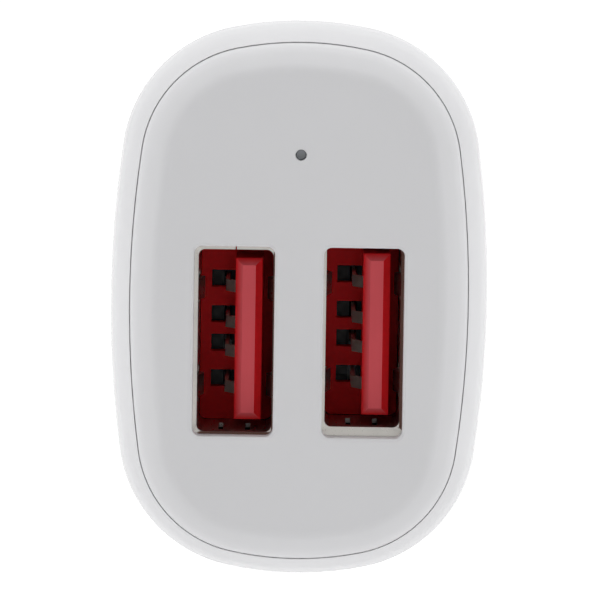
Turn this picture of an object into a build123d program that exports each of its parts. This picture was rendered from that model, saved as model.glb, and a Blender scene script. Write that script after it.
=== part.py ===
from build123d import *
import math
import os

# Car USB charger plug, in millimetres.
# X is to the right of the face, Y runs into the car's socket and Z is up.
# The origin is on the barrel's axis, where the head's shoulder meets the collar.
# Depths are Y values, so the face has the lowest ones.

# Head
head_width = 25.95
head_height = 38.15
head_corner_radius = 9.5
head_depth = 21.0
side_arc_angle = 8.0
end_arc_angle = 78.0
head_draft = 1.8
shoulder_reach = 0.2
shoulder_radius = 9.0
shoulder_angle = 50.0
shoulder_steps = 3
rim_width = 1.4
rim_radius = 6.4
rim_steps = 3

# Face panel
seam_gap = 0.035
panel_slope_width = 1.7
panel_slope_angle = 36.0
panel_crown_radius = 1.3
panel_crown_steps = 2
panel_edge_radius = 2.0
panel_edge_turn = 30.0
panel_edge_steps = 2
panel_thickness = 2.0
port_width = 5.5
port_height = 13.0
port_corner_radius = 0.55
port_chamfer = 0.15
port_pitch = 8.84
port_drop = 2.72
lamp_rise = 10.06
lamp_hole_diameter = 0.75

# USB receptacles: clear opening, folded shell and red insulator
shell_inner_width = 5.12
shell_inner_height = 12.5
shell_sheet = 0.3
shell_corner_radius = 0.45
shell_length = 11.3
shell_setback = 0.1
lip_length = 0.2
lip_flare = 0.34
joint_slit = 0.1
finger_width = 1.5
finger_slot = 0.35
finger_root = 1.8
finger_length = 4.6
finger_bow = 0.4
finger_crest_share = 0.7
finger_spread = 6.68
shell_leg_width = 1.2
shell_leg_spread = 3.0
tongue_thickness = 1.84
tongue_width = 11.1
tongue_offset = 0.90
tongue_setback = 1.6
tongue_length = 7.9
tongue_chamfer = 0.47
insulator_clearance = 0.05
pocket_width = 1.75
pocket_height = 1.2
pocket_rise = 0.15
groove_depth = 0.5
groove_stop = 0.7
contact_width = 0.8
contact_sheet = 0.25
contact_bow = 0.7
contact_tail_offset = 0.6
contact_crest_share = 0.42
contact_places = (-3.5, -1.0, 1.0, 3.5)
left_drift = (0.08, -0.09)
right_drift = (0.00, 0.35)

# Boards
board_thickness = 1.6
usb_board_width = 19.0
usb_board_height = 27.0
usb_board_corner_radius = 7.0
usb_board_ledge = 1.1
board_clearance = 0.15
tail_length = 1.0
tail_room = 0.5
main_board_length = 33.0
main_board_edge_gap = 0.3
tab_width = 3.0
tab_spread = 10.0
rail_width = 0.9
rail_depth = 1.2

# Barrel and nose
collar_radius = 10.4
collar_length = 7.0
barrel_radius = 10.1
barrel_length = 31.0
barrel_wall = 1.5
nose_clearance = 0.1
nose_plug_length = 2.0
nose_plug_wall = 2.0
nose_length = 11.0
nose_base_radius = 9.6
nose_front_radius = 6.2
nose_base_length = 5.6
nose_wall = 1.6
nose_flute_count = 8
nose_flute_length = 4.8
nose_flute_width = 1.4
nose_flute_depth = 0.35

# Sprung centre pin
tip_radius = 3.0
tip_clearance = 0.05
tip_reach = 4.2
tip_dome_radius = 3.6
tip_dome_steps = 1
tip_flange_radius = 4.5
tip_flange_thickness = 1.2
spring_radius = 2.75
spring_wire = 0.6
spring_turns = 4
spring_sides = 12
terminal_size = 7.4
terminal_sheet = 0.5
terminal_tab_width = 4.0
terminal_tab_length = 3.0

# Sprung side strips
strip_width = 4.6
strip_sheet = 0.4
strip_start = 8.6
strip_length = 20.0
strip_foot = 3.2
strip_reach = 11.6
strip_clearance = 0.2
strip_foot_gap = 0.13
strip_bend_radius = 2.0
strip_crest_radius = 7.0

# Lamp
lamp_radius = 1.5
lamp_sides = 16
lamp_length = 4.4
lamp_gap = 0.1
lamp_guide_radius = 0.34
lamp_guide_setback = 0.45
lamp_leg = 0.45
lamp_leg_pitch = 1.7
leg_clearance = 0.15

# Converter parts on the main board. A place is the distance from the board's far end, and the height,
# and the output can's is from the board's near end.
inductor_radius = 3.9
inductor_sides = 12
inductor_height = 4.6
inductor_flange = 0.8
inductor_waist_radius = 2.0
winding_radius = 3.3
inductor_place = (19.0, -1.5)
capacitor_radius = 2.45
capacitor_sides = 20
capacitor_length = 8.0
input_capacitor_place = (12.0, -3.6)
output_capacitor_place = (3.0, 2.0)
chip_body = (4.9, 3.9, 1.4)
chip_standoff = 0.1
chip_pin_width = 0.42
chip_pin_sheet = 0.2
chip_pin_reach = 1.05
chip_pin_pitch = 1.27
chip_pin_knee_share = 0.4
chip_pin_heel_share = 0.5
chip_pin_steps = (-1.5, -0.5, 0.5, 1.5)
chip_place = (9.5, 3.4)
diode_body = (4.3, 2.6, 2.1)
diode_place = (9.0, -3.6)
diode_terminal = (0.5, 1.5, 0.9)
small_chip = (1.6, 0.8, 0.5)
small_chip_places = ((4.5, 5.2), (4.5, 3.2), (4.5, 1.2), (4.5, -1.6), (4.5, -4.4), (24.5, 5.6))

# Depths and sizes that follow
slope_turn = math.radians(panel_slope_angle)
edge_turn = math.radians(panel_slope_angle + panel_edge_turn)
edge_run = panel_edge_radius * (math.sin(edge_turn) - math.sin(slope_turn))
edge_drop = panel_edge_radius * (math.cos(slope_turn) - math.cos(edge_turn))
slope_drop = (panel_slope_width - edge_run) * math.tan(slope_turn)
face_y = -head_depth
rim_y = face_y + slope_drop + edge_drop
rim_turn = math.acos(1 - rim_width / rim_radius)
rim_end_y = rim_y + rim_radius * math.sin(rim_turn)
panel_back_y = face_y + panel_thickness
shell_y = panel_back_y + shell_setback
tongue_y = shell_y + tongue_setback
back_wall_y = tongue_y + tongue_length
usb_board_y = shell_y + shell_length
usb_board_back_y = usb_board_y + board_thickness
tail_y = usb_board_back_y + tail_length
tail_room_y = tail_y + tail_room
bore_radius = barrel_radius - barrel_wall
main_board_y = usb_board_back_y
main_board_end_y = main_board_y + main_board_length
main_board_half = bore_radius - main_board_edge_gap
plug_radius = bore_radius - nose_clearance
nose_bore = plug_radius - nose_plug_wall
nose_end_y = barrel_length + nose_length
flange_y = nose_end_y - nose_wall
spring_start_y = main_board_end_y + terminal_sheet
spring_end_y = flange_y - tip_flange_thickness
shell_outer_width = shell_inner_width + 2 * shell_sheet
shell_outer_height = shell_inner_height + 2 * shell_sheet
panel_inset = rim_width + seam_gap
port_centres = {
    "left": (-port_pitch / 2, -port_drop),
    "right": (port_pitch / 2, -port_drop),
}
usb_centres = {
    "left": (port_centres["left"][0] + left_drift[0], port_centres["left"][1] + left_drift[1]),
    "right": (port_centres["right"][0] + right_drift[0], port_centres["right"][1] + right_drift[1]),
}


def facing(y, x=0.0, z=0.0):
    """Plane square to the axis at depth y, seen from the face: local x is X, local y is Z."""
    return Plane(origin=(x, y, z), x_dir=(1, 0, 0), z_dir=(0, -1, 0))


def oval(y, half_width, half_height, corner_radius):
    """Outline of eight tangent arcs at depth y. Equal sizes give a circle."""
    side = math.radians(side_arc_angle)
    end = math.radians(end_arc_angle)
    width_left = half_width - corner_radius * (math.cos(side) - math.cos(end))
    height_left = half_height - corner_radius * (math.sin(end) - math.sin(side))
    share = (1 - math.cos(side)) * (1 - math.sin(end)) - math.sin(side) * math.cos(end)
    side_radius = (width_left * (1 - math.sin(end)) - height_left * math.cos(end)) / share
    end_radius = (height_left * (1 - math.cos(side)) - width_left * math.sin(side)) / share
    corner_x = (end_radius - corner_radius) * math.cos(end)
    corner_z = (side_radius - corner_radius) * math.sin(side)
    corner_turn = end_arc_angle - side_arc_angle
    end_turn = 180 - 2 * end_arc_angle
    with BuildSketch(facing(y)) as outline:
        with BuildLine():
            CenterArc((half_width - side_radius, 0), side_radius, -side_arc_angle, 2 * side_arc_angle)
            CenterArc((corner_x, corner_z), corner_radius, side_arc_angle, corner_turn)
            CenterArc((0, half_height - end_radius), end_radius, end_arc_angle, end_turn)
            CenterArc((-corner_x, corner_z), corner_radius, 180 - end_arc_angle, corner_turn)
            CenterArc((side_radius - half_width, 0), side_radius, 180 - side_arc_angle, 2 * side_arc_angle)
            CenterArc((-corner_x, -corner_z), corner_radius, 180 + side_arc_angle, corner_turn)
            CenterArc((0, end_radius - half_height), end_radius, 180 + end_arc_angle, end_turn)
            CenterArc((corner_x, -corner_z), corner_radius, -end_arc_angle, corner_turn)
        make_face()
    return outline.sketch


def head_oval(y, inset):
    """The head's outline at depth y, moved in all round by inset."""
    return oval(y, head_width / 2 - inset, head_height / 2 - inset, head_corner_radius - inset)


def board_outline(y, growth):
    """The cross board's outline at depth y, moved out all round by growth."""
    board_width = usb_board_width + 2 * growth
    board_height = usb_board_height + 2 * growth
    with BuildSketch(facing(y)) as outline:
        RectangleRounded(board_width, board_height, usb_board_corner_radius + growth)
    return outline.sketch


def arc_points(radius, start, end, steps):
    """Drops and runs along an arc in even steps, from its point at the start angle to the end angle."""
    turns = [math.radians(start + (end - start) * step / steps) for step in range(steps + 1)]
    first = turns[0]
    return [
        (radius * (math.cos(first) - math.cos(turn)), radius * (math.sin(turn) - math.sin(first)))
        for turn in turns
    ]


def from_end(place):
    """Depth and height of a part whose place is counted from the main board's far end."""
    return (main_board_end_y - place[0], place[1])


# Housing: oval head, round neck, collar and barrel in one moulding
with BuildPart() as housing:
    rim_bands = arc_points(rim_radius, 0, math.degrees(rim_turn), rim_steps)
    rim_ovals = [head_oval(rim_end_y - rise, inset) for inset, rise in reversed(rim_bands)]
    loft(rim_ovals + [head_oval(0, head_draft)], ruled=True)
    # The head's back is turned: a round shoulder, then a cone down to the collar
    turned_radius = head_height / 2 + shoulder_reach
    shoulder_bands = arc_points(shoulder_radius, 0, shoulder_angle, shoulder_steps)
    shoulder_drop, shoulder_run = shoulder_bands[-1]
    cone_drop = turned_radius - shoulder_drop - collar_radius
    cone_y = -cone_drop / math.tan(math.radians(shoulder_angle))
    shoulder_y = cone_y - shoulder_run
    with BuildSketch(Plane.XY):
        with BuildLine():
            Polyline(
                (0, 0),
                (0, face_y),
                (turned_radius, face_y),
                *[(turned_radius - drop, shoulder_y + run) for drop, run in shoulder_bands],
                (collar_radius, 0),
                close=True,
            )
        make_face()
    revolve(axis=Axis.Y, mode=Mode.INTERSECT)
    with BuildSketch(facing(0)):
        Circle(collar_radius)
    extrude(amount=-collar_length)
    chamfer(housing.faces().sort_by(Axis.Y)[-1].edges(), length=collar_radius - barrel_radius)
    with BuildSketch(facing(collar_length)):
        Circle(barrel_radius)
    extrude(amount=collar_length - barrel_length)
    # Mouth for the panel, then the room for the receptacles, the board's pocket and the bore
    extrude(head_oval(rim_y, rim_width), amount=rim_y - panel_back_y, mode=Mode.SUBTRACT)
    cavity_depth = usb_board_back_y - panel_back_y
    extrude(board_outline(panel_back_y, board_clearance), amount=-cavity_depth, mode=Mode.SUBTRACT)
    tail_room_depth = tail_room_y - usb_board_back_y
    extrude(board_outline(usb_board_back_y, -usb_board_ledge), amount=-tail_room_depth, mode=Mode.SUBTRACT)
    with BuildSketch(facing(tail_room_y)):
        Circle(bore_radius)
    extrude(amount=tail_room_y - barrel_length, mode=Mode.SUBTRACT)
    # Windows for the side strips
    window_start = strip_start + strip_foot - strip_bend_radius
    window_length = strip_length - 2 * (strip_foot - strip_bend_radius)
    with BuildSketch(Plane.YZ):
        with Locations((window_start + window_length / 2, 0)):
            Rectangle(window_length, strip_width + 2 * strip_clearance)
    extrude(amount=collar_radius, both=True, mode=Mode.SUBTRACT)
    # Guide rails for the main board, above and below
    rail_x = board_thickness / 2 + board_clearance + rail_width / 2
    rail_z = bore_radius - rail_depth / 2
    with BuildSketch(facing(tail_room_y)):
        with GridLocations(2 * rail_x, 2 * rail_z, 2, 2):
            Rectangle(rail_width, rail_depth)
    extrude(amount=tail_room_y - main_board_end_y)


# Face panel: soft crowned plate that sits on the housing's ledge
with BuildPart() as face_panel:
    edge_angle = panel_slope_angle + panel_edge_turn
    edge_bands = arc_points(panel_edge_radius, panel_slope_angle, edge_angle, panel_edge_steps)
    edge_y = face_y + slope_drop
    edge_inset = panel_inset + edge_run
    edge_ovals = [head_oval(edge_y + drop, edge_inset - run) for drop, run in reversed(edge_bands)]
    crown_reach = panel_crown_radius * math.tan(slope_turn / 2)
    crown_inset = panel_inset + panel_slope_width + crown_reach
    crown_bands = arc_points(panel_crown_radius, 0, panel_slope_angle, panel_crown_steps)
    crown_ovals = [head_oval(face_y + drop, crown_inset - run) for drop, run in reversed(crown_bands)]
    loft([head_oval(panel_back_y, panel_inset)] + edge_ovals + crown_ovals, ruled=True)
    with BuildSketch(facing(face_y)):
        with Locations((0, lamp_rise)):
            Circle(lamp_hole_diameter / 2)
    extrude(amount=-panel_thickness, mode=Mode.SUBTRACT)
    with BuildSketch(facing(face_y)):
        with Locations(*port_centres.values()):
            RectangleRounded(port_width, port_height, port_corner_radius)
    extrude(amount=-panel_thickness, mode=Mode.SUBTRACT)
    chamfer(face_panel.edges(Select.LAST).group_by(Axis.Y)[0], length=port_chamfer)


def bent_strip(plane, points, radius, sheet, width):
    """Sheet strip bent along points in the plane, its width centred on the plane."""
    with BuildPart() as strip:
        with BuildSketch(plane):
            with BuildLine() as bend:
                FilletPolyline(*points, radius=radius)
            trace(bend.line, line_width=sheet)
        extrude(amount=width / 2, both=True)
    return strip.part


def usb_shell(centre):
    """Folded shell: rounded tube with flared lips, retention fingers and soldering legs."""
    x, z = centre
    tube_y = shell_y + lip_length
    wall_x = (shell_inner_width + shell_sheet) / 2
    wall_z = (shell_inner_height + shell_sheet) / 2
    root_y = shell_y + finger_root
    finger_end_y = root_y + finger_length
    window_y = (root_y + finger_end_y + finger_slot) / 2
    window_length = finger_length + finger_slot
    window_width = finger_width + 2 * finger_slot
    with BuildPart() as shell:
        with BuildSketch(facing(tube_y, x, z)):
            RectangleRounded(shell_outer_width, shell_outer_height, shell_corner_radius + shell_sheet)
            RectangleRounded(shell_inner_width, shell_inner_height, shell_corner_radius, mode=Mode.SUBTRACT)
        extrude(amount=lip_length - shell_length)
        for side in (-1, 1):
            # Lips on the long walls, then on the short walls
            with BuildSketch(Plane.XY.offset(z)):
                with BuildLine():
                    Polyline(
                        (x + side * (wall_x - shell_sheet / 2), tube_y),
                        (x + side * (wall_x + shell_sheet / 2), tube_y),
                        (x + side * (wall_x + shell_sheet / 2 + lip_flare), shell_y),
                        (x + side * (wall_x - shell_sheet / 2 + lip_flare), shell_y),
                        close=True,
                    )
                make_face()
            extrude(amount=shell_outer_height / 2, both=True)
            with BuildSketch(Plane.YZ.offset(x)):
                with BuildLine():
                    Polyline(
                        (tube_y, z + side * (wall_z - shell_sheet / 2)),
                        (tube_y, z + side * (wall_z + shell_sheet / 2)),
                        (shell_y, z + side * (wall_z + shell_sheet / 2 + lip_flare)),
                        (shell_y, z + side * (wall_z - shell_sheet / 2 + lip_flare)),
                        close=True,
                    )
                make_face()
            extrude(amount=shell_outer_width / 2, both=True)
        # Windows round the fingers, through both long walls and the lower short wall
        with BuildSketch(Plane.YZ.offset(x)):
            with Locations((window_y, z)):
                with GridLocations(0, finger_spread, 1, 2):
                    Rectangle(window_length, window_width)
        extrude(amount=shell_outer_width, both=True, mode=Mode.SUBTRACT)
        with BuildSketch(Plane.XY.offset(z - wall_z)):
            with Locations((x, window_y)):
                Rectangle(window_width, window_length)
        extrude(amount=shell_sheet, both=True, mode=Mode.SUBTRACT)
        # The fold's joint, in the middle of the upper short wall
        with BuildSketch(Plane.XY.offset(z + wall_z)):
            with Locations((x, shell_y + shell_length / 2)):
                Rectangle(joint_slit, shell_length)
        extrude(amount=shell_sheet + lip_flare, both=True, mode=Mode.SUBTRACT)
        # Fingers rooted at the front, bowed in and back out
        for side in (-1, 1):
            bow = [
                (x + side * wall_x, root_y - shell_sheet),
                (x + side * wall_x, root_y + shell_sheet),
                (x + side * (wall_x - finger_bow), root_y + finger_crest_share * finger_length),
                (x + side * wall_x, finger_end_y),
            ]
            for finger_z in (-finger_spread / 2, finger_spread / 2):
                plane = Plane.XY.offset(z + finger_z)
                add(bent_strip(plane, bow, 0, shell_sheet, finger_width))
        end_bow = [
            (root_y - shell_sheet, z - wall_z),
            (root_y + shell_sheet, z - wall_z),
            (root_y + finger_crest_share * finger_length, z - wall_z + finger_bow),
            (finger_end_y, z - wall_z),
        ]
        add(bent_strip(Plane.YZ.offset(x), end_bow, 0, shell_sheet, finger_width))
        with BuildSketch(facing(usb_board_y, x, z)):
            with GridLocations(shell_leg_spread, 2 * wall_z, 2, 2):
                Rectangle(shell_leg_width, shell_sheet)
        extrude(amount=usb_board_y - tail_y)
    return shell


def usb_insulator(centre):
    """Base that fills the shell's rear, with a grooved tongue standing from it."""
    x, z = centre
    pocket_x = tongue_offset - tongue_thickness / 2 - pocket_width / 2
    groove_x = tongue_offset - tongue_thickness / 2 + groove_depth / 2
    with BuildPart() as insulator:
        with BuildSketch(facing(back_wall_y, x, z)):
            RectangleRounded(
                shell_inner_width - 2 * insulator_clearance,
                shell_inner_height - 2 * insulator_clearance,
                shell_corner_radius,
            )
        extrude(amount=back_wall_y - usb_board_y)
        with BuildSketch(facing(back_wall_y, x, z)):
            with Locations((tongue_offset, 0)):
                Rectangle(tongue_thickness, tongue_width)
        extrude(amount=tongue_length)
        chamfer(insulator.faces().sort_by(Axis.Y)[0].edges(), length=tongue_chamfer)
        with BuildSketch(facing(back_wall_y, x, z)):
            with Locations(*[(pocket_x, place + pocket_rise) for place in contact_places]):
                Rectangle(pocket_width, pocket_height)
        extrude(amount=back_wall_y - usb_board_y, mode=Mode.SUBTRACT)
        with BuildSketch(facing(back_wall_y, x, z)):
            with Locations(*[(groove_x, place + pocket_rise) for place in contact_places]):
                Rectangle(groove_depth, pocket_height)
        extrude(amount=tongue_length - tongue_chamfer - groove_stop, mode=Mode.SUBTRACT)
    return insulator


def usb_contacts(centre):
    """Four spring strips: tail through the board, bow off the tongue, tip back in its groove."""
    x, z = centre
    face_x = x + tongue_offset - tongue_thickness / 2
    tail_x = face_x - contact_tail_offset
    bow_x = face_x - contact_bow + contact_sheet / 2
    tip_x = face_x + groove_depth / 2
    tip_y = tongue_y + tongue_chamfer + groove_stop + contact_sheet
    points = [
        (tail_x, tail_y),
        (tail_x, back_wall_y - contact_sheet),
        (bow_x, tongue_y + contact_crest_share * tongue_length),
        (tip_x, tip_y),
    ]
    with BuildPart() as contacts:
        for place in contact_places:
            add(bent_strip(Plane.XY.offset(z + place), points, 0, contact_sheet, contact_width))
    return contacts


usb_shells = {side: usb_shell(centre) for side, centre in usb_centres.items()}
usb_insulators = {side: usb_insulator(centre) for side, centre in usb_centres.items()}
usb_contact_sets = {side: usb_contacts(centre) for side, centre in usb_centres.items()}


# Cross board: sits in the housing's pocket and carries the receptacles and the lamp
with BuildPart() as usb_board:
    extrude(board_outline(usb_board_y, 0), amount=-board_thickness)
    wall_z = (shell_inner_height + shell_sheet) / 2
    tail_x = tongue_offset - tongue_thickness / 2 - contact_tail_offset
    leg_hole = (shell_leg_width + 2 * leg_clearance, shell_sheet + 2 * leg_clearance)
    tail_spread = contact_places[-1] - contact_places[0] + contact_width
    tail_slot = (contact_sheet + 2 * leg_clearance, tail_spread + 2 * leg_clearance)
    with BuildSketch(facing(usb_board_y)):
        for x, z in usb_centres.values():
            with Locations((x, z)):
                with GridLocations(shell_leg_spread, 2 * wall_z, 2, 2):
                    Rectangle(*leg_hole)
                with Locations((tail_x, 0)):
                    Rectangle(*tail_slot)
        with GridLocations(0, tab_spread, 1, 2):
            Rectangle(board_thickness + 2 * board_clearance, tab_width + 2 * board_clearance)
        with Locations((0, lamp_rise)):
            with GridLocations(lamp_leg_pitch, 0, 2, 1):
                Rectangle(lamp_leg + 2 * leg_clearance, lamp_leg + 2 * leg_clearance)
    extrude(amount=-board_thickness, mode=Mode.SUBTRACT)


# Main board: stands upright along the barrel, with two tabs through the cross board
with BuildPart() as main_board:
    with BuildSketch(Plane.YZ.offset(-board_thickness / 2)):
        with Locations((main_board_y + main_board_length / 2, 0)):
            Rectangle(main_board_length, 2 * main_board_half)
        with Locations((main_board_y - (board_thickness + tail_length) / 2, 0)):
            with GridLocations(0, tab_spread, 1, 2):
                Rectangle(board_thickness + tail_length, tab_width)
    extrude(amount=board_thickness)


# Lamp with a light guide in the pinhole, and its two legs down to the cross board
lamp_y = panel_back_y + lamp_gap
lamp_base_y = lamp_y + lamp_length
with BuildPart() as led_lamp:
    with BuildSketch(facing(lamp_y, 0, lamp_rise)):
        RegularPolygon(lamp_radius, lamp_sides)
    extrude(amount=-lamp_length)
    with BuildSketch(facing(lamp_y, 0, lamp_rise)):
        Circle(lamp_guide_radius)
    extrude(amount=lamp_y - face_y - lamp_guide_setback)

with BuildPart() as led_legs:
    with BuildSketch(facing(lamp_base_y, 0, lamp_rise)):
        with GridLocations(lamp_leg_pitch, 0, 2, 1):
            Rectangle(lamp_leg, lamp_leg)
    extrude(amount=lamp_base_y - tail_y)


# Nose cap: fluted cone with a plug that goes into the bore, and a hole for the centre pin
with BuildPart() as nose_cap:
    with BuildSketch(Plane.XY):
        with BuildLine():
            Polyline(
                (nose_bore, barrel_length - nose_plug_length),
                (plug_radius, barrel_length - nose_plug_length),
                (plug_radius, barrel_length),
                (nose_base_radius, barrel_length),
                (nose_base_radius, barrel_length + nose_base_length),
                (nose_front_radius, nose_end_y),
                (tip_radius + tip_clearance, nose_end_y),
                (tip_radius + tip_clearance, flange_y),
                (nose_bore, flange_y),
                close=True,
            )
        make_face()
    revolve(axis=Axis.Y)
    with BuildSketch(facing(barrel_length)):
        with PolarLocations(nose_base_radius, nose_flute_count):
            Rectangle(2 * nose_flute_depth, nose_flute_width)
    extrude(amount=-nose_flute_length, mode=Mode.SUBTRACT)


# Centre pin: turned, with a domed end and a flange behind the nose
pin_end_y = nose_end_y + tip_reach
dome_turn = math.degrees(math.asin(tip_radius / tip_dome_radius))
dome_points = arc_points(tip_dome_radius, 0, dome_turn, tip_dome_steps)
with BuildPart() as tip_contact:
    with BuildSketch(Plane.XY):
        with BuildLine():
            Polyline(
                (0, spring_end_y),
                (tip_flange_radius, spring_end_y),
                (tip_flange_radius, flange_y),
                (tip_radius, flange_y),
                *[(run, pin_end_y - inset) for inset, run in reversed(dome_points)],
                close=True,
            )
        make_face()
    revolve(axis=Axis.Y)


# Coil spring between the board's terminal and the pin's flange
with BuildPart() as tip_spring:
    coil_height = spring_end_y - spring_start_y - spring_wire
    coil_steps = spring_turns * spring_sides
    coil_points = []
    for step in range(coil_steps + 1):
        angle = 2 * math.pi * step / spring_sides
        y = spring_start_y + spring_wire / 2 + coil_height * step / coil_steps
        coil_points.append((spring_radius * math.cos(angle), y, spring_radius * math.sin(angle)))
    with BuildLine() as coil:
        Polyline(*coil_points)
    with BuildSketch(Plane(origin=coil.line @ 0, x_dir=(0, 1, 0), z_dir=coil.line % 0)):
        Rectangle(spring_wire / math.sqrt(2), spring_wire / math.sqrt(2))
    sweep(path=coil.line, transition=Transition.RIGHT)


# Brass terminal: plate on the board's end with a tab down each side of the board
with BuildPart() as spring_terminal:
    with BuildSketch(facing(main_board_end_y)):
        Rectangle(terminal_size, terminal_size)
    extrude(amount=-terminal_sheet)
    with BuildSketch(facing(main_board_end_y)):
        with GridLocations(board_thickness + terminal_sheet, 0, 2, 1):
            Rectangle(terminal_sheet, terminal_tab_width)
    extrude(amount=terminal_tab_length)


def ground_strip(side):
    """Bowed strip with both feet behind the barrel's wall, on the side of that sign."""
    foot_corner = bore_radius - strip_foot_gap
    foot_x = math.sqrt(foot_corner**2 - (strip_width / 2) ** 2) - strip_sheet / 2
    end_y = strip_start + strip_length
    middle_y = strip_start + strip_length / 2
    rise = strip_reach - strip_sheet / 2 - foot_x
    run = strip_length / 2 - strip_foot
    slope = math.atan2(rise, run)
    for _ in range(20):
        crest = rise + strip_crest_radius * (1 / math.cos(slope) - 1)
        slope = math.atan2(crest, run)
    points = [
        (side * foot_x, strip_start),
        (side * foot_x, strip_start + strip_foot),
        (side * (foot_x + crest), middle_y),
        (side * foot_x, end_y - strip_foot),
        (side * foot_x, end_y),
    ]
    radii = [strip_bend_radius, strip_crest_radius, strip_bend_radius]
    with BuildPart() as strip:
        add(bent_strip(Plane.XY, points, radii, strip_sheet, strip_width))
    return strip


ground_contact_left = ground_strip(-1)
ground_contact_right = ground_strip(1)


# Converter parts: the choke and the small parts on the right face, the cans on the left face
board_face = board_thickness / 2
right_face = Plane.YZ.offset(board_face)

with BuildPart() as inductor_core:
    with BuildSketch(right_face):
        with Locations(from_end(inductor_place)):
            RegularPolygon(inductor_radius, inductor_sides)
    extrude(amount=inductor_flange)
    with BuildSketch(Plane.YZ.offset(board_face + inductor_flange)):
        with Locations(from_end(inductor_place)):
            RegularPolygon(inductor_waist_radius, inductor_sides)
    extrude(amount=inductor_height - 2 * inductor_flange)
    with BuildSketch(Plane.YZ.offset(board_face + inductor_height - inductor_flange)):
        with Locations(from_end(inductor_place)):
            RegularPolygon(inductor_radius, inductor_sides)
    extrude(amount=inductor_flange)

with BuildPart() as inductor_winding:
    with BuildSketch(Plane.YZ.offset(board_face + inductor_flange)):
        with Locations(from_end(inductor_place)):
            RegularPolygon(winding_radius, inductor_sides)
            RegularPolygon(inductor_waist_radius, inductor_sides, mode=Mode.SUBTRACT)
    extrude(amount=inductor_height - 2 * inductor_flange)


def capacitor(place):
    """Can lying along the board's left face, from that depth on and at that height."""
    start_y, z = place
    with BuildPart() as can:
        with BuildSketch(facing(start_y, -board_face - capacitor_radius, z)):
            RegularPolygon(
                capacitor_radius,
                capacitor_sides,
                major_radius=False,
                rotation=180 / capacitor_sides,
            )
        extrude(amount=-capacitor_length)
    return can


input_capacitor = capacitor(from_end(input_capacitor_place))
output_capacitor = capacitor((main_board_y + output_capacitor_place[0], output_capacitor_place[1]))

with BuildPart() as converter_chip:
    with BuildSketch(Plane.YZ.offset(board_face + chip_standoff)):
        with Locations(from_end(chip_place)):
            Rectangle(chip_body[0], chip_body[1])
    extrude(amount=chip_body[2])
    chamfer(converter_chip.faces().sort_by(Axis.X)[-1].edges(), length=chip_pin_sheet)

with BuildPart() as converter_leads:
    knee_x = board_face + chip_standoff + chip_body[2] / 2
    foot_x = board_face + chip_pin_sheet / 2
    for side in (-1, 1):
        edge_z = chip_place[1] + side * chip_body[1] / 2
        gull = [
            (knee_x, edge_z),
            (knee_x, edge_z + side * chip_pin_knee_share * chip_pin_reach),
            (foot_x, edge_z + side * chip_pin_heel_share * chip_pin_reach),
            (foot_x, edge_z + side * chip_pin_reach),
        ]
        for step in chip_pin_steps:
            pin_plane = Plane.XZ.offset(-from_end(chip_place)[0] - step * chip_pin_pitch)
            add(bent_strip(pin_plane, gull, 0, chip_pin_sheet, chip_pin_width))

with BuildPart() as rectifier_diode:
    with BuildSketch(right_face):
        with Locations(from_end(diode_place)):
            Rectangle(diode_body[0], diode_body[1])
    extrude(amount=diode_body[2])
    chamfer(rectifier_diode.faces().sort_by(Axis.X)[-1].edges(), length=chip_pin_sheet)
    with BuildSketch(right_face):
        with Locations(from_end(diode_place)):
            Rectangle(diode_body[0] + 2 * diode_terminal[0], diode_terminal[1])
    extrude(amount=diode_terminal[2])

with BuildPart() as chip_components:
    with BuildSketch(right_face):
        with Locations(*[from_end(place) for place in small_chip_places]):
            Rectangle(small_chip[0], small_chip[1])
    extrude(amount=small_chip[2])


pieces = {
    "housing": housing,
    "face_panel": face_panel,
    "nose_cap": nose_cap,
    "tip_contact": tip_contact,
    "tip_spring": tip_spring,
    "spring_terminal": spring_terminal,
    "ground_contact_left": ground_contact_left,
    "ground_contact_right": ground_contact_right,
    "main_board": main_board,
    "usb_board": usb_board,
    "led_lamp": led_lamp,
    "led_legs": led_legs,
    "inductor_core": inductor_core,
    "inductor_winding": inductor_winding,
    "input_capacitor": input_capacitor,
    "output_capacitor": output_capacitor,
    "converter_chip": converter_chip,
    "converter_leads": converter_leads,
    "rectifier_diode": rectifier_diode,
    "chip_components": chip_components,
}
for side in usb_centres:
    pieces[f"usb_{side}_shell"] = usb_shells[side]
    pieces[f"usb_{side}_insulator"] = usb_insulators[side]
    pieces[f"usb_{side}_contacts"] = usb_contact_sets[side]

os.makedirs("parts", exist_ok=True)
for name, piece in pieces.items():
    piece.part.label = name
    export_step(piece.part, f"parts/{name}.step")
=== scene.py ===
import math

import bmesh
import bpy
from bpy.props import FloatProperty, FloatVectorProperty, PointerProperty
from bpy.types import NodeSocket, Operator, Panel, PropertyGroup
from mathutils import Matrix, Quaternion, Vector


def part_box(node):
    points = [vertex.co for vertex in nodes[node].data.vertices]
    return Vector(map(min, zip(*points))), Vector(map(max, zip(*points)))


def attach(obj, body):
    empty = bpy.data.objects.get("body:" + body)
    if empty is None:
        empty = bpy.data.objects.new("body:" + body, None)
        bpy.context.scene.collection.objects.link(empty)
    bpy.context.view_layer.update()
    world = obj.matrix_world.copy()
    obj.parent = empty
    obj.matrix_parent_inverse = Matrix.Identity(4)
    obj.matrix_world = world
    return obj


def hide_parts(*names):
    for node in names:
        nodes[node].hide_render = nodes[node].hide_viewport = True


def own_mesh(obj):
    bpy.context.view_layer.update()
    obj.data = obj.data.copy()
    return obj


bl_info = {
    "name": "Car USB charger plug",
    "version": (1, 0, 0),
    "blender": (4, 5, 0),
    "location": "View3D > Sidebar > Charger",
    "description": "Finishes, stage and camera for a white car charger plug with two USB ports",
    "category": "Object",
}

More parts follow.
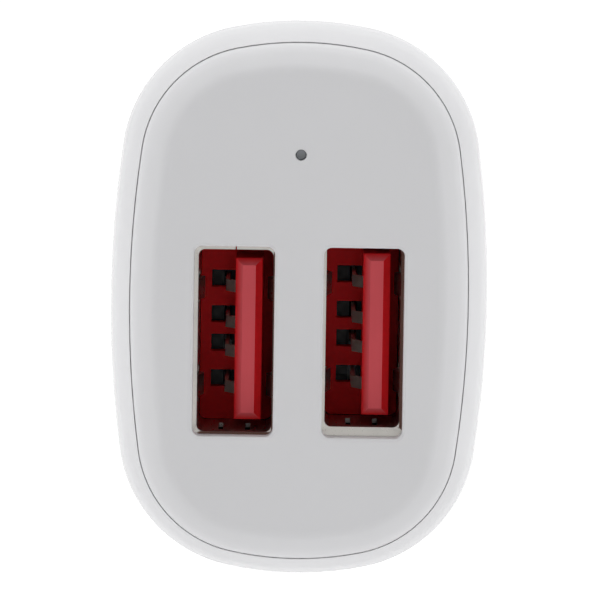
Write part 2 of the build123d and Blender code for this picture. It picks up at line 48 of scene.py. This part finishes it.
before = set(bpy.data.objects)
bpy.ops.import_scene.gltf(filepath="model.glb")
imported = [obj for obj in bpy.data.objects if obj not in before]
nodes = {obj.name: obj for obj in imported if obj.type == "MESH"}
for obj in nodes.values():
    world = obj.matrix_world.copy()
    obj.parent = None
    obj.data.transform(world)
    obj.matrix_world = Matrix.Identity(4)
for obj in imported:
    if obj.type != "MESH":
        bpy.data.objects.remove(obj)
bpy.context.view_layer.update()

# The middle of the face panel, which the camera looks at
panel_low, panel_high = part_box("face_panel")
FACE_CENTRE = (0.0, panel_low[1], (panel_low[2] + panel_high[2]) / 2)

MILLIMETRE = 0.001

# Sizes in metres: the shells' flared lips, the end of their painted shade, the end of a tongue's painted
# light behind its tip, the rounded edges of a moulding, and the distance within which corners are joined
# for shading
LIP_LENGTH = 0.2 * MILLIMETRE
LIP_FADE = 0.04 * MILLIMETRE
PAINTED_LIGHT_LENGTH = 0.5 * MILLIMETRE
EDGE_RADIUS = 0.12 * MILLIMETRE
JOIN_DISTANCE = 0.001 * MILLIMETRE

# Sizes of the patterns in millimetres
FLOW_MM = 9
FIBRE_MM = 0.25
MARK_MM = 2.5
TRACK_MM = 2.4
WEAVE_MM = 0.5
MOTTLE_MM = 60

# How much of its colour a surface keeps in the dark places of its pattern
FLOW_SHADE = 0.985
FIBRE_SHADE = 0.92
MARK_SHADE = 0.88

# The part of a pattern's range over which its colour changes
RAMP_START = 0.3
RAMP_END = 0.7

# How far a face has turned to the right when its painted light starts to fade, and when it has gone
PAINTED_LIGHT_FACING = (0.15, 0.55)

# How far a lip has turned to its shaded side when its painted shade starts to show, and when it is full
PAINTED_SHADE_FACING = (0.1, 0.25)

# Where the edge of the copper begins and ends, in cells from the middle of one
TRACK_EDGE = (0.36, 0.4)

# Round wire: sides of its section, steps a turn, and the rise of a closed turn in wires
WIRE_SIDES = 10
TURN_STEPS = 28
CLOSED_RISE = 1.02

# The choke: its layers, and how far inside its room the outer layer's wire runs, in wires
CHOKE_LAYERS = 2
CHOKE_MARGIN = 0.7


def linear(hex_colour):
    """Linear RGB of an sRGB hex value."""
    channels = [int(hex_colour[place:place + 2], 16) / 255 for place in (1, 3, 5)]
    return [c / 12.92 if c <= 0.04045 else ((c + 0.055) / 1.055) ** 2.4 for c in channels]


def per_mm(size_mm):
    """Texture scale, per metre, for a feature of that size in millimetres."""
    return 1 / (size_mm * MILLIMETRE)


def add_node(tree, kind, inputs=None, **settings):
    """Adds a node with its settings. An input is a value, or the socket that feeds it."""
    node = tree.nodes.new(kind)
    for name, value in settings.items():
        setattr(node, name, value)
    for name, value in (inputs or {}).items():
        if isinstance(value, NodeSocket):
            tree.links.new(value, node.inputs[name])
        else:
            node.inputs[name].default_value = value
    return node


def new_material(name):
    """A material with an empty tree, its Object coordinates and its output node."""
    material = bpy.data.materials.new(name)
    material.use_nodes = True
    tree = material.node_tree
    tree.nodes.clear()
    place = add_node(tree, "ShaderNodeTexCoord").outputs["Object"]
    output = add_node(tree, "ShaderNodeOutputMaterial")
    return material, tree, place, output


def noise(tree, place, size_mm, detail):
    """A cloudy pattern with clouds of about that size."""
    inputs = {"Vector": place, "Scale": per_mm(size_mm), "Detail": detail}
    return add_node(tree, "ShaderNodeTexNoise", inputs).outputs["Fac"]


def levels(tree, value, low, high, start=0.0, end=1.0, interpolation="LINEAR"):
    """Brings values between start and end to between low and high, and holds those outside."""
    inputs = {"Value": value, "From Min": start, "From Max": end, "To Min": low, "To Max": high}
    node = add_node(tree, "ShaderNodeMapRange", inputs, interpolation_type=interpolation)
    return node.outputs["Result"]


def product(tree, first, second):
    """One pattern times another."""
    return add_node(tree, "ShaderNodeMath", {0: first, 1: second}, operation="MULTIPLY").outputs[0]


def mixed(tree, share, first, second):
    """The first colour, with that share of the second."""
    # A Mix node has sockets of one name for each kind of value: a colour's are inputs 6 and 7, output 2
    inputs = {"Factor": share, 6: first, 7: (*second, 1)}
    return add_node(tree, "ShaderNodeMix", inputs, data_type="RGBA").outputs[2]


def bump(tree, pattern, height_mm, strength=0.6):
    """A bump node that raises a pattern by that height in millimetres."""
    inputs = {"Height": pattern, "Strength": strength, "Distance": height_mm * MILLIMETRE}
    return add_node(tree, "ShaderNodeBump", inputs)


def shades(tree, factor, low, high):
    """A colour ramp from one linear colour to another over a pattern's middle range."""
    ramp = add_node(tree, "ShaderNodeValToRGB", {"Fac": factor})
    ramp.color_ramp.elements[0].position = RAMP_START
    ramp.color_ramp.elements[1].position = RAMP_END
    ramp.color_ramp.elements[0].color = (*low, 1)
    ramp.color_ramp.elements[1].color = (*high, 1)
    return ramp.outputs["Color"]


def darker(colour, share):
    """The colour at that share of its brightness."""
    return [channel * share for channel in colour]


def finish_shader(tree, output, inputs):
    """Ends a material's tree with a Principled shader that has these inputs."""
    shader = add_node(tree, "ShaderNodeBsdfPrincipled", inputs)
    tree.links.new(shader.outputs["BSDF"], output.inputs["Surface"])


def moulded_plastic(name, colour, roughness, spread, grain_mm, grain_height_mm, ior):
    """Moulded plastic: a slow cloud of tone, over the fine grain that the mould leaves."""
    material, tree, place, output = new_material(name)
    # Flow in the mould changes tone over about a centimetre, just enough to keep the white alive
    flow = noise(tree, place, FLOW_MM, detail=3.0)
    # The grain is drawn coarser than a real mould's, so that it shows at this picture's size
    grain = noise(tree, place, grain_mm, detail=4.0)
    relief = bump(tree, grain, grain_height_mm)
    # A mould's edges are never quite sharp: they are rounded by about a tenth of a millimetre
    edge = add_node(tree, "ShaderNodeBevel", {"Radius": EDGE_RADIUS}, samples=6)
    tree.links.new(edge.outputs["Normal"], relief.inputs["Normal"])
    inputs = {
        "Base Color": shades(tree, flow, darker(colour, FLOW_SHADE), colour),
        "Roughness": levels(tree, grain, roughness - spread, roughness + spread),
        "Normal": relief.outputs["Normal"],
        "IOR": ior,
    }
    finish_shader(tree, output, inputs)
    return material


def red_insulator(name, colour, lit_tip_colour, tip_y):
    """Glass-filled plastic: deep red and half matt, with painted light that makes it pale at the
    tongue's tip.
    """
    material, tree, place, output = new_material(name)
    # Painted light: the pale zone reaches half a millimetre behind the tip, on its front and on the
    # contacts' side
    depth = add_node(tree, "ShaderNodeSeparateXYZ", {"Vector": place}).outputs["Y"]
    near_tip = levels(tree, depth, 1.0, 0.0, tip_y, tip_y + PAINTED_LIGHT_LENGTH, "SMOOTHSTEP")
    facing = add_node(tree, "ShaderNodeTexCoord").outputs["Normal"]
    sideways = add_node(tree, "ShaderNodeSeparateXYZ", {"Vector": facing}).outputs["X"]
    # Share of painted light: near the tip, on faces that are not turned to the right
    painted_light_share = product(tree, near_tip, levels(tree, sideways, 1.0, 0.0, *PAINTED_LIGHT_FACING))
    # Fibres of a quarter of a millimetre cloud the colour and roughen the skin
    fibres = noise(tree, place, FIBRE_MM, detail=4.0)
    skin = shades(tree, fibres, darker(colour, FIBRE_SHADE), colour)
    inputs = {
        "Base Color": mixed(tree, painted_light_share, skin, lit_tip_colour),
        "Roughness": levels(tree, fibres, low=0.42, high=0.58),
        "Normal": bump(tree, fibres, height_mm=0.004).outputs["Normal"],
        "Specular IOR Level": 0.12,
    }
    finish_shader(tree, output, inputs)
    return material


def painted_shade_lips(tree, place, unshaded, shade_colour, mouth_y, side):
    """The unshaded colour, with painted shade on the mouth's flared lips that face the given side."""
    depth = add_node(tree, "ShaderNodeSeparateXYZ", {"Vector": place}).outputs["Y"]
    lip_end = mouth_y + LIP_LENGTH
    lip = levels(tree, depth, 1.0, 0.0, lip_end, lip_end + LIP_FADE)
    facing = add_node(tree, "ShaderNodeTexCoord").outputs["Normal"]
    turned = add_node(tree, "ShaderNodeVectorMath", {0: facing, 1: side}, operation="DOT_PRODUCT")
    towards = levels(tree, turned.outputs["Value"], 0.0, 1.0, *PAINTED_SHADE_FACING)
    return mixed(tree, product(tree, lip, towards), unshaded, shade_colour)


def drawn_metal(name, colour, roughness, spread, line_mm, line_height_mm, stretch, lips=None):
    """Sheet or turned metal: fine lines along the rolling direction and a cloud of handling marks."""
    material, tree, place, output = new_material(name)
    along = add_node(tree, "ShaderNodeMapping", {"Vector": place, "Scale": stretch})
    lines = noise(tree, along.outputs["Vector"], line_mm, detail=3.0)
    marks = noise(tree, place, MARK_MM, detail=4.0)
    tone = shades(tree, marks, darker(colour, MARK_SHADE), colour)
    # Painted shade on the flared lips that face one side
    if lips:
        tone = painted_shade_lips(tree, place, tone, *lips)
    inputs = {
        "Base Color": tone,
        "Metallic": 1.0,
        "Roughness": levels(tree, lines, roughness - spread, roughness + spread),
        "Normal": bump(tree, lines, line_height_mm).outputs["Normal"],
    }
    finish_shader(tree, output, inputs)
    return material


def board_laminate(name, mask, copper):
    """Glass laminate under solder mask: the copper tracks lift the mask and lighten it."""
    material, tree, place, output = new_material(name)
    # Tracks of about a millimetre, on a square grid as a router lays them
    tracks = add_node(
        tree,
        "ShaderNodeTexVoronoi",
        {"Vector": place, "Scale": per_mm(TRACK_MM), "Randomness": 0.8},
        distance="CHEBYCHEV",
        feature="F1",
    )
    edge = levels(tree, tracks.outputs["Distance"], 0.0, 1.0, *TRACK_EDGE)
    # The weave of the glass cloth under the mask, half a millimetre a thread
    weave = add_node(tree, "ShaderNodeTexChecker", {"Vector": place, "Scale": per_mm(WEAVE_MM)})
    inputs = {
        "Base Color": shades(tree, edge, mask, copper),
        "Roughness": levels(tree, weave.outputs["Fac"], low=0.32, high=0.4),
        "Normal": bump(tree, edge, height_mm=0.03, strength=0.5).outputs["Normal"],
        "IOR": 1.55,
        "Specular IOR Level": 0.15,
    }
    finish_shader(tree, output, inputs)
    return material


def edge_rule(angle):
    """Shading rule for the frame's triangles: joined, with only the edges past the angle left sharp."""
    tree = bpy.data.node_groups.new("Soft edges", "GeometryNodeTree")
    tree.interface.new_socket("Geometry", in_out="INPUT", socket_type="NodeSocketGeometry")
    tree.interface.new_socket("Geometry", in_out="OUTPUT", socket_type="NodeSocketGeometry")
    entry = add_node(tree, "NodeGroupInput")
    corners = {0: entry.outputs[0], "Distance": JOIN_DISTANCE}
    joined = add_node(tree, "GeometryNodeMergeByDistance", corners)
    smooth = add_node(tree, "GeometryNodeSetShadeSmooth", {0: joined.outputs[0], 2: True}, domain="FACE")
    turn = add_node(tree, "GeometryNodeInputMeshEdgeAngle")
    sharp = add_node(
        tree,
        "FunctionNodeCompare",
        {"A": turn.outputs["Unsigned Angle"], "B": angle},
        data_type="FLOAT",
        operation="GREATER_THAN",
    )
    kept = add_node(
        tree,
        "GeometryNodeSetShadeSmooth",
        {0: smooth.outputs[0], 1: sharp.outputs["Result"], 2: False},
        domain="EDGE",
    )
    add_node(tree, "NodeGroupOutput", {0: kept.outputs[0]})
    return tree


def edges(settings):
    """The one shading rule that all pieces share."""
    return bpy.data.node_groups.get("Soft edges") or edge_rule(settings.sharp_angle)


def finish_nodes(names, material, rule):
    """Gives CAD nodes a material and the shading rule. Flat faces stay flat beside rounded edges."""
    for name in names:
        piece = nodes[name]
        piece.data.materials.clear()
        piece.data.materials.append(material)
        piece.modifiers.new("Soft edges", "NODES").node_group = rule
        flats = piece.modifiers.new("Flat faces", "WEIGHTED_NORMAL")
        flats.keep_sharp = True


def wire_coil(name, place, axis, wire, runs):
    """A coil of round wire along an axis. A run is a radius, the turns of its parts and their rises."""
    coil = bmesh.new()
    for radius, turns, rises in runs:
        section = bmesh.ops.create_circle(coil, segments=WIRE_SIDES, radius=wire / 2)["verts"]
        upright = Matrix.Rotation(math.pi / 2, 3, "X")
        bmesh.ops.rotate(coil, cent=(0, 0, 0), matrix=upright, verts=section)
        bmesh.ops.translate(coil, vec=(radius, 0, wire / 2), verts=section)
        end = section + list(dict.fromkeys(edge for vert in section for edge in vert.link_edges))
        for part_turns, part_rise in zip(turns, rises):
            steps = round(part_turns * TURN_STEPS)
            end = bmesh.ops.spin(
                coil,
                geom=end,
                cent=(0, 0, 0),
                axis=(0, 0, 1),
                dvec=(0, 0, part_rise / steps),
                angle=part_turns * math.tau,
                steps=steps,
            )["geom_last"]
    bmesh.ops.holes_fill(coil, edges=[edge for edge in coil.edges if edge.is_boundary])
    bmesh.ops.recalc_face_normals(coil, faces=coil.faces)
    turn = Vector((0, 0, 1)).rotation_difference(Vector(axis)).to_matrix().to_4x4()
    bmesh.ops.transform(coil, matrix=Matrix.Translation(place) @ turn, verts=coil.verts)
    mesh = bpy.data.meshes.new(name)
    coil.to_mesh(mesh)
    coil.free()
    mesh.shade_smooth()
    piece = bpy.data.objects.new(name, mesh)
    bpy.context.scene.collection.objects.link(piece)
    return piece


class ChargerFinishes(PropertyGroup):
    """Colours and finishes of the charger's pieces."""

    white: FloatVectorProperty(
        name="White plastic",
        description="Colour of the moulded head, barrel and nose",
        subtype="COLOR",
        default=linear("#E8E8EA"),
    )
    panel: FloatVectorProperty(
        name="Face panel",
        description="Colour of the satin plate round the ports",
        subtype="COLOR",
        default=linear("#E8E8EA"),
    )
    red: FloatVectorProperty(
        name="Receptacle red",
        description="Colour of the insulators with their tongues",
        subtype="COLOR",
        default=linear("#FF242B"),
    )
    # Painted light and sheen: this pale red stands in for light on the tongues' tips
    painted_light_red: FloatVectorProperty(
        name="Painted light red",
        description="Painted light and sheen on the tongues' tips, paler than the red",
        subtype="COLOR",
        default=linear("#FF6A72"),
    )
    steel: FloatVectorProperty(
        name="Shell steel",
        description="Colour of the folded receptacle shells",
        subtype="COLOR",
        default=linear("#B8B5B0"),
    )
    # Painted shade: this dark colour on the shells' lips stands in for shadow
    painted_shade_steel: FloatVectorProperty(
        name="Painted shade steel",
        description="Painted shade on the shells' lips, darker than the steel",
        subtype="COLOR",
        default=linear("#4A3530"),
    )
    gloss_roughness: FloatProperty(
        name="Gloss plastic roughness",
        description="Roughness of the polished moulding",
        subtype="FACTOR",
        default=0.24,
        min=0.0,
        max=1.0,
    )
    satin_roughness: FloatProperty(
        name="Satin plastic roughness",
        description="Roughness of the face panel",
        subtype="FACTOR",
        default=0.46,
        min=0.0,
        max=1.0,
    )
    sharp_angle: FloatProperty(
        name="Sharp edge angle",
        description="Edges that turn by more than this keep a sharp line",
        subtype="ANGLE",
        default=math.radians(32),
    )


class ChargerWire(PropertyGroup):
    """The round wire of the pin's spring and of the choke."""

    spring_radius: FloatProperty(
        name="Spring radius",
        description="From the spring's axis to the middle of its wire",
        unit="LENGTH",
        default=0.00275,
    )
    spring_wire: FloatProperty(
        name="Spring wire",
        description="Diameter of the spring's wire",
        unit="LENGTH",
        default=0.0006,
    )
    choke_wire: FloatProperty(
        name="Choke wire",
        description="Diameter of the choke's enamelled wire",
        unit="LENGTH",
        default=0.0005,
    )


class ChargerStage(PropertyGroup):
    """The floor, the light and the camera."""

    floor_drop: FloatProperty(
        name="Floor drop",
        description="Height of the plug's axis over the floor",
        unit="LENGTH",
        default=0.06,
    )
    floor_reach: FloatProperty(
        name="Floor reach",
        description="From the middle of the floor to its sides",
        unit="LENGTH",
        default=6.0,
    )
    light_level: FloatProperty(
        name="Light level",
        description="Brightness of the light tent's sides at the object's height",
        default=1.31,
    )
    light_behind: FloatProperty(
        name="Light from behind",
        description="How much brighter the tent is behind the face than beside it, and darker before it",
        default=0.16,
    )
    light_sides: FloatProperty(
        name="Light from the sides",
        description="How much darker the tent is before and behind the face than at its sides",
        default=2.2,
    )
    light_above: FloatProperty(
        name="Light from above",
        description="How much brighter the tent is at the top than at the object's height",
        default=0.34,
    )
    camera_distance: FloatProperty(
        name="Camera distance",
        description="From the face panel to the camera",
        unit="LENGTH",
        default=0.4,
    )
    camera_elevation: FloatProperty(
        name="Camera elevation",
        description="How far the camera stands above the face's height",
        subtype="ANGLE",
        default=math.radians(4),
    )
    camera_roll: FloatProperty(
        name="Camera roll",
        description="Lean of the photograph's frame",
        subtype="ANGLE",
        default=math.radians(0.87),
    )
    view_side: FloatProperty(
        name="View to the side",
        description="How far to the right of the face's middle the picture is centred",
        unit="LENGTH",
        default=0.00007,
    )
    view_rise: FloatProperty(
        name="View up",
        description="How far above the face's middle the picture is centred",
        unit="LENGTH",
        default=0.0002,
    )
    view_width: FloatProperty(
        name="View width",
        description="Width that the picture shows at the face",
        unit="LENGTH",
        default=0.0408,
    )


class CHARGER_OT_housing(Operator):
    """Finishes the head with its barrel, and the nose cap"""

    bl_idname = "charger.housing"
    bl_label = "Housing and nose cap"

    def execute(self, context):
        finishes = context.scene.charger_finishes
        # Polished ABS moulding: bright white, soft reflections, a trace of orange peel
        material = moulded_plastic(
            "Gloss moulded ABS",
            finishes.white,
            roughness=finishes.gloss_roughness,
            spread=0.05,
            grain_mm=0.6,
            grain_height_mm=0.002,
            ior=1.54,
        )
        finish_nodes(("housing", "nose_cap"), material, edges(finishes))
        return {"FINISHED"}


class CHARGER_OT_face_panel(Operator):
    """Finishes the plate round the ports"""

    bl_idname = "charger.face_panel"
    bl_label = "Face panel"

    def execute(self, context):
        finishes = context.scene.charger_finishes
        # Spark-eroded mould: a satin white without clear reflections
        material = moulded_plastic(
            "Satin moulded ABS",
            finishes.panel,
            roughness=finishes.satin_roughness,
            spread=0.06,
            grain_mm=0.18,
            grain_height_mm=0.0025,
            ior=1.54,
        )
        finish_nodes(("face_panel",), material, edges(finishes))
        return {"FINISHED"}


class CHARGER_OT_receptacles(Operator):
    """Finishes both receptacles: shells, insulators and contacts"""

    bl_idname = "charger.receptacles"
    bl_label = "USB receptacles"

    def execute(self, context):
        finishes = context.scene.charger_finishes
        rule = edges(finishes)
        # Nickel-plated strip, folded: streaks of the rolling run into the port. Painted shade: both
        # right lips, and the left port's lower one, are painted dark as if in shadow.
        painted_shade_sides = {"usb_left_shell": (-0.7, 0, 0.7), "usb_right_shell": (-1, 0, 0)}
        for name, side in painted_shade_sides.items():
            shell = drawn_metal(
                "Nickel-plated steel",
                finishes.steel,
                roughness=0.3,
                spread=0.08,
                line_mm=0.12,
                line_height_mm=0.002,
                stretch=(1, 0.08, 1),
                lips=(finishes.painted_shade_steel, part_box(name)[0][1], side),
            )
            finish_nodes((name,), shell, rule)
        # The tongue's tip is the insulators' nearest point
        tip_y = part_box("usb_left_insulator")[0][1]
        # Painted light makes the tongues' tips pale
        insulator = red_insulator("Glass-filled red PBT", finishes.red, finishes.painted_light_red, tip_y)
        # Nickel-plated bronze strip: silver, with a trace of warmth
        contacts = drawn_metal(
            "Plated contact bronze",
            linear("#E6E3DC"),
            roughness=0.5,
            spread=0.08,
            line_mm=0.1,
            line_height_mm=0.001,
            stretch=(1, 0.1, 1),
        )
        finish_nodes(("usb_left_insulator", "usb_right_insulator"), insulator, rule)
        finish_nodes(("usb_left_contacts", "usb_right_contacts"), contacts, rule)
        return {"FINISHED"}


class CHARGER_OT_plug_contacts(Operator):
    """Finishes the centre pin, the plate behind its spring and the side strips"""

    bl_idname = "charger.plug_contacts"
    bl_label = "Plug contacts"

    def execute(self, context):
        rule = edges(context.scene.charger_finishes)
        # Turned brass under nickel: rings round the axis, so the lines are stretched across it
        pin = drawn_metal(
            "Nickel-plated brass",
            linear("#ABA9A5"),
            roughness=0.22,
            spread=0.07,
            line_mm=0.15,
            line_height_mm=0.002,
            stretch=(0.1, 1, 0.1),
        )
        # Spring steel: blue-grey, with lines along the strip
        strip = drawn_metal(
            "Stainless spring steel",
            linear("#BDBEC0"),
            roughness=0.26,
            spread=0.07,
            line_mm=0.12,
            line_height_mm=0.001,
            stretch=(1, 0.06, 1),
        )
        # Bare brass stamping: warm yellow
        terminal = drawn_metal(
            "Stamped brass",
            linear("#D8B873"),
            roughness=0.28,
            spread=0.06,
            line_mm=0.12,
            line_height_mm=0.001,
            stretch=(0.2, 1, 1),
        )
        finish_nodes(("tip_contact",), pin, rule)
        finish_nodes(("ground_contact_left", "ground_contact_right"), strip, rule)
        finish_nodes(("spring_terminal",), terminal, rule)
        return {"FINISHED"}


class CHARGER_OT_pin_spring(Operator):
    """Winds the centre pin's spring from round wire, with closed ends"""

    bl_idname = "charger.pin_spring"
    bl_label = "Pin spring"

    def execute(self, context):
        wire = context.scene.charger_wire
        low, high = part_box("tip_spring")
        length = high[1] - low[1]
        # A closed turn at each end, and three open turns between them
        closed = CLOSED_RISE * wire.spring_wire
        opened = length - wire.spring_wire - 2 * closed
        runs = [(wire.spring_radius, (1, 3, 1), (closed, opened, closed))]
        spring = wire_coil("pin_spring", (0, low[1], 0), (0, 1, 0), wire.spring_wire, runs)
        # Hard-drawn spring wire: grey and bright, with the lines of the die along it
        steel = drawn_metal(
            "Hard-drawn spring wire",
            linear("#B4B5B8"),
            roughness=0.28,
            spread=0.07,
            line_mm=0.1,
            line_height_mm=0.001,
            stretch=(1, 0.3, 1),
        )
        spring.data.materials.append(steel)
        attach(spring, "charger")
        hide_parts("tip_spring")
        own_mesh(spring)
        return {"FINISHED"}


class CHARGER_OT_choke_turns(Operator):
    """Winds the choke's turns in two layers on its drum"""

    bl_idname = "charger.choke_turns"
    bl_label = "Choke turns"

    def execute(self, context):
        wire = context.scene.charger_wire.choke_wire
        low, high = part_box("inductor_winding")
        height = high[0] - low[0]
        turns = math.floor(height / wire) - 1
        outer = (high[1] - low[1]) / 2 - CHOKE_MARGIN * wire
        runs = [(outer - layer * wire, (turns,), (height - wire,)) for layer in range(CHOKE_LAYERS)]
        middle = (low[0], (low[1] + high[1]) / 2, (low[2] + high[2]) / 2)
        choke = wire_coil("choke_turns", middle, (1, 0, 0), wire, runs)
        # Enamelled wire: copper under a clear amber coat
        copper = drawn_metal(
            "Enamelled copper wire",
            linear("#C06B3E"),
            roughness=0.26,
            spread=0.06,
            line_mm=0.4,
            line_height_mm=0.002,
            stretch=(1, 0.3, 0.3),
        )
        choke.data.materials.append(copper)
        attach(choke, "charger")
        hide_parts("inductor_winding")
        return {"FINISHED"}


class CHARGER_OT_converter(Operator):
    """Finishes the boards and the parts on them"""

    bl_idname = "charger.converter"
    bl_label = "Converter boards"

    def execute(self, context):
        rule = edges(context.scene.charger_finishes)
        # Black solder mask: near black, with the tracks a shade paler
        board = board_laminate("Glass laminate with solder mask", linear("#0D0E0F"), linear("#181B1D"))
        # Filled epoxy: dull black with a fine sparkle of its filler
        epoxy = moulded_plastic(
            "Filled epoxy",
            linear("#1D1D1F"),
            roughness=0.5,
            spread=0.08,
            grain_mm=0.15,
            grain_height_mm=0.003,
            ior=1.55,
        )
        # Shrunk sleeve over the can: smooth and dark blue
        sleeve = moulded_plastic(
            "Shrink sleeve",
            linear("#28304A"),
            roughness=0.3,
            spread=0.06,
            grain_mm=0.8,
            grain_height_mm=0.004,
            ior=1.53,
        )
        # Pressed ferrite: charcoal grey, grainy
        ferrite = moulded_plastic(
            "Pressed ferrite",
            linear("#3A3A3C"),
            roughness=0.6,
            spread=0.1,
            grain_mm=0.2,
            grain_height_mm=0.006,
            ior=1.6,
        )
        # Tinned copper wire: pale grey, with the lines of the die along it
        tin = drawn_metal(
            "Tinned wire",
            linear("#C9CACC"),
            roughness=0.32,
            spread=0.06,
            line_mm=0.15,
            line_height_mm=0.001,
            stretch=(1, 0.1, 1),
        )
        # Lamp resin: milky, with the shine of a cast part
        lamp = moulded_plastic(
            "Cast lamp resin",
            linear("#95989C"),
            roughness=0.15,
            spread=0.04,
            grain_mm=0.7,
            grain_height_mm=0.001,
            ior=1.51,
        )
        finish_nodes(("main_board", "usb_board"), board, rule)
        finish_nodes(("converter_chip", "rectifier_diode", "chip_components"), epoxy, rule)
        finish_nodes(("input_capacitor", "output_capacitor"), sleeve, rule)
        finish_nodes(("inductor_core",), ferrite, rule)
        finish_nodes(("converter_leads", "led_legs"), tin, rule)
        finish_nodes(("led_lamp",), lamp, rule)
        return {"FINISHED"}


class CHARGER_OT_stage(Operator):
    """Builds the floor, the light tent and the camera"""

    bl_idname = "charger.stage"
    bl_label = "Floor, light and camera"

    def execute(self, context):
        scene = context.scene
        stage = scene.charger_stage
        scene.view_settings.view_transform = "Standard"
        self.floor(stage)
        self.light_tent(scene, stage)
        self.camera(scene, stage)
        return {"FINISHED"}

    def seen_directly(self, tree):
        """One for what the camera, a mirror or a clear material sees, nought for light on a surface."""
        path = add_node(tree, "ShaderNodeLightPath")
        mirrored = add_node(
            tree,
            "ShaderNodeMath",
            {0: path.outputs["Is Camera Ray"], 1: path.outputs["Is Glossy Ray"]},
            operation="MAXIMUM",
        )
        seen = add_node(
            tree,
            "ShaderNodeMath",
            {0: mirrored.outputs[0], 1: path.outputs["Is Transmission Ray"]},
            operation="MAXIMUM",
        )
        return seen.outputs[0]

    def floor(self, stage):
        """A wide pale floor that shows white and keeps the object's shadow."""
        mesh = bpy.data.meshes.new("floor")
        board = bmesh.new()
        bmesh.ops.create_grid(board, x_segments=1, y_segments=1, size=stage.floor_reach)
        bmesh.ops.translate(board, vec=(0, 0, -stage.floor_drop), verts=board.verts)
        board.to_mesh(mesh)
        board.free()
        floor = bpy.data.objects.new("floor", mesh)
        bpy.context.scene.collection.objects.link(floor)
        # Matt painted board: a faint mottle, and a lift for the camera that brings it to white
        material, tree, place, output = new_material("Matt white board")
        mottle = noise(tree, place, MOTTLE_MM, detail=2.0)
        tone = shades(tree, mottle, linear("#F2F2F2"), linear("#F4F4F4"))
        paint = add_node(tree, "ShaderNodeBsdfDiffuse", {"Color": tone})
        lift = add_node(tree, "ShaderNodeEmission", {"Strength": self.seen_directly(tree)})
        lift.inputs["Color"].default_value = (*linear("#7C7C7C"), 1)
        both = add_node(tree, "ShaderNodeAddShader", {0: paint.outputs[0], 1: lift.outputs[0]})
        tree.links.new(both.outputs[0], output.inputs["Surface"])
        mesh.materials.append(material)

    def light_tent(self, scene, stage):
        """A white tent, brightest at the sides and above, and darkest before the face."""
        world = bpy.data.worlds.new("Light tent")
        world.use_nodes = True
        tree = world.node_tree
        tree.nodes.clear()
        direction = add_node(tree, "ShaderNodeTexCoord").outputs["Generated"]
        slope = add_node(
            tree,
            "ShaderNodeVectorMath",
            {0: direction, 1: (0, stage.light_behind, stage.light_above)},
            operation="DOT_PRODUCT",
        )
        level = add_node(
            tree, "ShaderNodeMath", {0: slope.outputs["Value"], 1: stage.light_level}, operation="ADD"
        )
        depth = add_node(tree, "ShaderNodeSeparateXYZ", {"Vector": direction}).outputs["Y"]
        dimmed = add_node(
            tree,
            "ShaderNodeMath",
            {0: product(tree, depth, depth), 1: -stage.light_sides, 2: level.outputs[0]},
            operation="MULTIPLY_ADD",
        )
        light = add_node(tree, "ShaderNodeMath", {0: dimmed.outputs[0], 1: 0.0}, operation="MAXIMUM")
        shown = add_node(
            tree,
            "ShaderNodeMix",
            {"Factor": self.seen_directly(tree), "A": light.outputs[0], "B": 1.0},
            data_type="FLOAT",
        )
        tent = add_node(tree, "ShaderNodeBackground", {"Strength": shown.outputs["Result"]})
        tent.inputs["Color"].default_value = (1, 1, 1, 1)
        add_node(tree, "ShaderNodeOutputWorld", {"Surface": tent.outputs[0]})
        scene.world = world

    def camera(self, scene, stage):
        """The photograph's view: straight at the face, a little from above and slightly rolled."""
        lens = bpy.data.cameras.new("camera")
        camera = bpy.data.objects.new("camera", lens)
        scene.collection.objects.link(camera)
        rise = stage.camera_elevation
        back = Vector((0, -math.cos(rise), math.sin(rise)))
        target = Vector(FACE_CENTRE) + Vector((stage.view_side, 0, stage.view_rise))
        camera.location = target + back * stage.camera_distance
        level = (-back).to_track_quat("-Z", "Y")
        camera.rotation_mode = "QUATERNION"
        camera.rotation_quaternion = level @ Quaternion((0, 0, 1), stage.camera_roll)
        lens.sensor_width = 36
        lens.lens = lens.sensor_width * stage.camera_distance / stage.view_width
        lens.clip_start = 0.01
        scene.camera = camera


class CHARGER_PT_sidebar(Panel):
    """Lists the charger's pieces and their settings"""

    bl_idname = "CHARGER_PT_sidebar"
    bl_label = "Charger"
    bl_space_type = "VIEW_3D"
    bl_region_type = "UI"
    bl_category = "Charger"

    def draw(self, context):
        layout = self.layout
        scene = context.scene
        for settings in (scene.charger_finishes, scene.charger_wire, scene.charger_stage):
            column = layout.column()
            for name in settings.__annotations__:
                column.prop(settings, name)
        for operator in operators:
            layout.operator(operator.bl_idname)


operators = (
    CHARGER_OT_housing,
    CHARGER_OT_face_panel,
    CHARGER_OT_receptacles,
    CHARGER_OT_plug_contacts,
    CHARGER_OT_pin_spring,
    CHARGER_OT_choke_turns,
    CHARGER_OT_converter,
    CHARGER_OT_stage,
)
classes = (ChargerFinishes, ChargerWire, ChargerStage, *operators, CHARGER_PT_sidebar)


def register():
    for cls in classes:
        bpy.utils.register_class(cls)
    bpy.types.Scene.charger_finishes = PointerProperty(type=ChargerFinishes)
    bpy.types.Scene.charger_wire = PointerProperty(type=ChargerWire)
    bpy.types.Scene.charger_stage = PointerProperty(type=ChargerStage)


def unregister():
    del bpy.types.Scene.charger_stage
    del bpy.types.Scene.charger_wire
    del bpy.types.Scene.charger_finishes
    for cls in reversed(classes):
        bpy.utils.unregister_class(cls)


def main():
    register()
    bpy.ops.charger.housing()
    bpy.ops.charger.face_panel()
    bpy.ops.charger.receptacles()
    bpy.ops.charger.plug_contacts()
    bpy.ops.charger.pin_spring()
    bpy.ops.charger.choke_turns()
    bpy.ops.charger.converter()
    bpy.ops.charger.stage()


if __name__ == "__main__":
    main()
